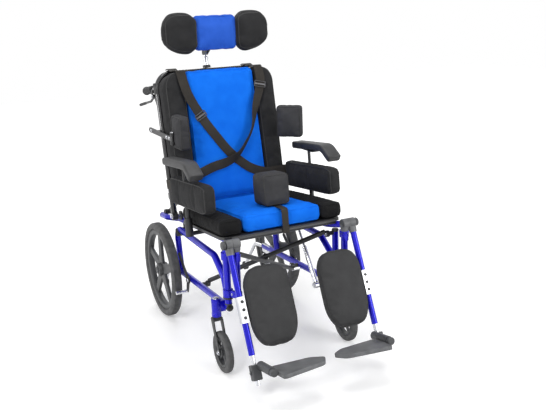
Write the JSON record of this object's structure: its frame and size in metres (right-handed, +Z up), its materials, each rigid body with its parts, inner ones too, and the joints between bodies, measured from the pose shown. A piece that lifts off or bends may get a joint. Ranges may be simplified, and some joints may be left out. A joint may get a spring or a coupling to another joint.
{
  "type": "tilt-in-space wheelchair",
  "caption": "Attendant wheelchair whose seat tilts in space, with reclining back, elevating leg rests, swivel casters, postural pads, harness and winged headrest.",
  "frame": {"origin": "on the floor under the middle of the chair's bounding box", "axes": "+Z up; the chair faces -Y; +X to the viewer's right when the chair is seen from the front"},
  "size_m": [0.612, 1.2964, 1.2479],
  "materials": {
    "tyre_rubber": "matte solid tyre",
    "caster_tyre": "matte moulded wheel with solid tyre",
    "wheel_plastic": "satin moulded plastic",
    "candy_blue": "glossy metallic blue",
    "black_metal": "satin black",
    "bright_steel": "polished",
    "grip_rubber": "matte",
    "grey_plastic": "satin",
    "black_cloth": "stretch cover, matte",
    "webbing": "woven strap",
    "blue_cloth": "stretch cover, matte",
    "head_blue_cloth": "stretch cover, matte"
  },
  "bodies": {
    "base": {"base_frame_left": "candy_blue", "base_frame_right": "candy_blue", "brace_bar_a": "black_metal", "brace_bar_b": "black_metal"},
    "tilt_cylinder": {"tilt_cylinder": "black_metal"},
    "tilt_rod": {"tilt_rod": "bright_steel"},
    "seat": {"seat_frame_left": "candy_blue", "seat_frame_right": "candy_blue", "seat_pan": "black_metal", "seat_cushion": "black_cloth", "seat_centre": "blue_cloth", "pommel_pad": "black_cloth", "pommel_strap": "webbing", "side_pad_left": "black_cloth", "side_pad_right": "black_cloth"},
    "back": {"back_hoop": "candy_blue", "back_cushion": "black_cloth", "back_centre": "blue_cloth", "push_grip_left": "grip_rubber", "push_grip_right": "grip_rubber", "release_cable_left": "grip_rubber", "release_cable_right": "grip_rubber", "lateral_arm_left": "black_metal", "lateral_arm_right": "black_metal", "harness": "webbing"},
    "headrest_post": {"headrest_post": "bright_steel"},
    "headrest": {"headrest_wings": "black_cloth", "headrest_centre": "head_blue_cloth"},
    "rear_wheel_left": {"rear_wheel_left": "wheel_plastic", "rear_tyre_left": "tyre_rubber"},
    "caster_fork_left": {"caster_fork_left": "black_metal"},
    "caster_wheel_left": {"caster_wheel_left": "caster_tyre"},
    "wheel_lock_left": {"wheel_lock_left": "black_metal"},
    "recline_cylinder_left": {"recline_cylinder_left": "black_metal"},
    "recline_rod_left": {"recline_rod_left": "bright_steel"},
    "armrest_left": {"armrest_pad_left": "grey_plastic", "armrest_post_left": "bright_steel"},
    "release_lever_left": {"release_lever_left": "black_metal"},
    "lateral_pad_left": {"lateral_pad_left": "black_cloth"},
    "hanger_left": {"hanger_left": "candy_blue"},
    "leg_left": {"leg_tube_left": "candy_blue", "calf_pad_left": "black_cloth"},
    "foot_tube_left": {"foot_tube_left": "bright_steel"},
    "footplate_left": {"footplate_left": "grey_plastic"},
    "rear_wheel_right": {"rear_wheel_right": "wheel_plastic", "rear_tyre_right": "tyre_rubber"},
    "caster_fork_right": {"caster_fork_right": "black_metal"},
    "caster_wheel_right": {"caster_wheel_right": "caster_tyre"},
    "wheel_lock_right": {"wheel_lock_right": "black_metal"},
    "recline_cylinder_right": {"recline_cylinder_right": "black_metal"},
    "recline_rod_right": {"recline_rod_right": "bright_steel"},
    "armrest_right": {"armrest_pad_right": "grey_plastic", "armrest_post_right": "bright_steel"},
    "release_lever_right": {"release_lever_right": "black_metal"},
    "lateral_pad_right": {"lateral_pad_right": "black_cloth"},
    "hanger_right": {"hanger_right": "candy_blue"},
    "leg_right": {"leg_tube_right": "candy_blue", "calf_pad_right": "black_cloth"},
    "foot_tube_right": {"foot_tube_right": "bright_steel"},
    "footplate_right": {"footplate_right": "grey_plastic"}
  },
  "joints": [
    {"name": "seat_tilt", "type": "hinge", "parent": "base", "child": "seat", "pos_m": [0, 0.2423, 0.388], "axis": [-1, 0, 0], "range_deg": [0, 20]},
    {"name": "back_recline", "type": "hinge", "parent": "seat", "child": "back", "pos_m": [0, 0.2713, 0.45], "axis": [-1, 0, 0], "range_deg": [0, 35]},
    {"name": "tilt_cylinder_pivot", "type": "hinge", "parent": "base", "child": "tilt_cylinder", "pos_m": [0.165, -0.1977, 0.225], "axis": [-1, 0, 0], "range_deg": [-4, 0]},
    {"name": "tilt_rod_slide", "type": "slide", "parent": "tilt_cylinder", "child": "tilt_rod", "axis": [0, 0.5761, 0.8174], "range_m": [0, 0.097]},
    {"name": "headrest_height", "type": "slide", "parent": "back", "child": "headrest_post", "axis": [0, 0.1874, 0.9823], "range_m": [0, 0.08]},
    {"name": "headrest_tilt", "type": "hinge", "parent": "headrest_post", "child": "headrest", "pos_m": [0, 0.41761, 1.0889], "axis": [-1, 0, 0], "range_deg": [-15, 20]},
    {"name": "rear_wheel_spin_left", "type": "hinge", "parent": "base", "child": "rear_wheel_left", "pos_m": [-0.2715, 0.3623, 0.2], "axis": [1, 0, 0], "continuous": true},
    {"name": "caster_swivel_left", "type": "hinge", "parent": "base", "child": "caster_fork_left", "pos_m": [-0.255, -0.2127, 0.19], "axis": [0, 0, 1], "continuous": true},
    {"name": "caster_spin_left", "type": "hinge", "parent": "caster_fork_left", "child": "caster_wheel_left", "pos_m": [-0.255, -0.2577, 0.076], "axis": [1, 0, 0], "continuous": true},
    {"name": "wheel_lock_turn_left", "type": "hinge", "parent": "base", "child": "wheel_lock_left", "pos_m": [-0.239, 0.1273, 0.2187], "axis": [1, 0, 0], "range_deg": [0, 12]},
    {"name": "recline_cylinder_pivot_left", "type": "hinge", "parent": "seat", "child": "recline_cylinder_left", "pos_m": [-0.2, 0.4223, 0.43], "axis": [-1, 0, 0], "range_deg": [0, 2.5]},
    {"name": "recline_rod_slide_left", "type": "slide", "parent": "recline_cylinder_left", "child": "recline_rod_left", "axis": [0, -0.8408, 0.5413], "range_m": [-0.0425, 0]},
    {"name": "armrest_height_left", "type": "slide", "parent": "seat", "child": "armrest_left", "axis": [0, 0.0927, 0.9957], "range_m": [-0.015, 0.01]},
    {"name": "release_lever_turn_left", "type": "hinge", "parent": "back", "child": "release_lever_left", "pos_m": [-0.227, 0.4343, 0.922], "axis": [1, 0, 0], "range_deg": [0, 9], "stiffness_Nm_per_rad": 4, "springref_deg": -6.88},
    {"name": "lateral_swing_left", "type": "hinge", "parent": "back", "child": "lateral_pad_left", "pos_m": [-0.2503, 0.1623, 0.785], "axis": [0, 0, 1], "range_deg": [-60, 0]},
    {"name": "hanger_swing_left", "type": "hinge", "parent": "seat", "child": "hanger_left", "pos_m": [-0.236, -0.2877, 0.4], "axis": [0, 0, -1], "range_deg": [0, 90]},
    {"name": "leg_elevate_left", "type": "hinge", "parent": "hanger_left", "child": "leg_left", "pos_m": [-0.241, -0.3277, 0.495], "axis": [-1, 0, 0], "range_deg": [0, 65]},
    {"name": "foot_slide_left", "type": "slide", "parent": "leg_left", "child": "foot_tube_left", "axis": [0, -0.4139, -0.9103], "range_m": [-0.02, 0.05]},
    {"name": "footplate_flip_left", "type": "hinge", "parent": "foot_tube_left", "child": "footplate_left", "pos_m": [-0.222, -0.5257, 0.13], "axis": [0, -0.9816, 0.1908], "range_deg": [0, 90]},
    {"name": "rear_wheel_spin_right", "type": "hinge", "parent": "base", "child": "rear_wheel_right", "pos_m": [0.2715, 0.3623, 0.2], "axis": [1, 0, 0], "continuous": true},
    {"name": "caster_swivel_right", "type": "hinge", "parent": "base", "child": "caster_fork_right", "pos_m": [0.255, -0.2127, 0.19], "axis": [0, 0, 1], "continuous": true},
    {"name": "caster_spin_right", "type": "hinge", "parent": "caster_fork_right", "child": "caster_wheel_right", "pos_m": [0.255, -0.2577, 0.076], "axis": [1, 0, 0], "continuous": true},
    {"name": "wheel_lock_turn_right", "type": "hinge", "parent": "base", "child": "wheel_lock_right", "pos_m": [0.239, 0.1273, 0.2187], "axis": [1, 0, 0], "range_deg": [0, 12]},
    {"name": "recline_cylinder_pivot_right", "type": "hinge", "parent": "seat", "child": "recline_cylinder_right", "pos_m": [0.2, 0.4223, 0.43], "axis": [-1, 0, 0], "range_deg": [0, 2.5]},
    {"name": "recline_rod_slide_right", "type": "slide", "parent": "recline_cylinder_right", "child": "recline_rod_right", "axis": [0, -0.8408, 0.5413], "range_m": [-0.0425, 0]},
    {"name": "armrest_height_right", "type": "slide", "parent": "seat", "child": "armrest_right", "axis": [0, 0.0927, 0.9957], "range_m": [-0.015, 0.01]},
    {"name": "release_lever_turn_right", "type": "hinge", "parent": "back", "child": "release_lever_right", "pos_m": [0.227, 0.4343, 0.922], "axis": [1, 0, 0], "range_deg": [0, 9], "stiffness_Nm_per_rad": 4, "springref_deg": -6.88},
    {"name": "lateral_swing_right", "type": "hinge", "parent": "back", "child": "lateral_pad_right", "pos_m": [0.2503, 0.1623, 0.785], "axis": [0, 0, 1], "range_deg": [-45, 20]},
    {"name": "hanger_swing_right", "type": "hinge", "parent": "seat", "child": "hanger_right", "pos_m": [0.236, -0.2877, 0.4], "axis": [0, 0, 1], "range_deg": [0, 90]},
    {"name": "leg_elevate_right", "type": "hinge", "parent": "hanger_right", "child": "leg_right", "pos_m": [0.241, -0.3277, 0.495], "axis": [-1, 0, 0], "range_deg": [0, 65]},
    {"name": "foot_slide_right", "type": "slide", "parent": "leg_right", "child": "foot_tube_right", "axis": [0, -0.4139, -0.9103], "range_m": [-0.02, 0.05]},
    {"name": "footplate_flip_right", "type": "hinge", "parent": "foot_tube_right", "child": "footplate_right", "pos_m": [0.222, -0.5257, 0.13], "axis": [0, 0.9816, -0.1908], "range_deg": [0, 90]}
  ],
  "couplings": [
    {"joint": "tilt_cylinder_pivot", "follows": "seat_tilt", "ratio": -0.19},
    {"joint": "tilt_rod_slide", "follows": "seat_tilt", "m_per_rad": 0.2752},
    {"joint": "recline_cylinder_pivot_left", "follows": "back_recline", "ratio": 0.07},
    {"joint": "recline_rod_slide_left", "follows": "back_recline", "m_per_rad": -0.0686},
    {"joint": "recline_cylinder_pivot_right", "follows": "back_recline", "ratio": 0.07},
    {"joint": "recline_rod_slide_right", "follows": "back_recline", "m_per_rad": -0.0686}
  ]
}
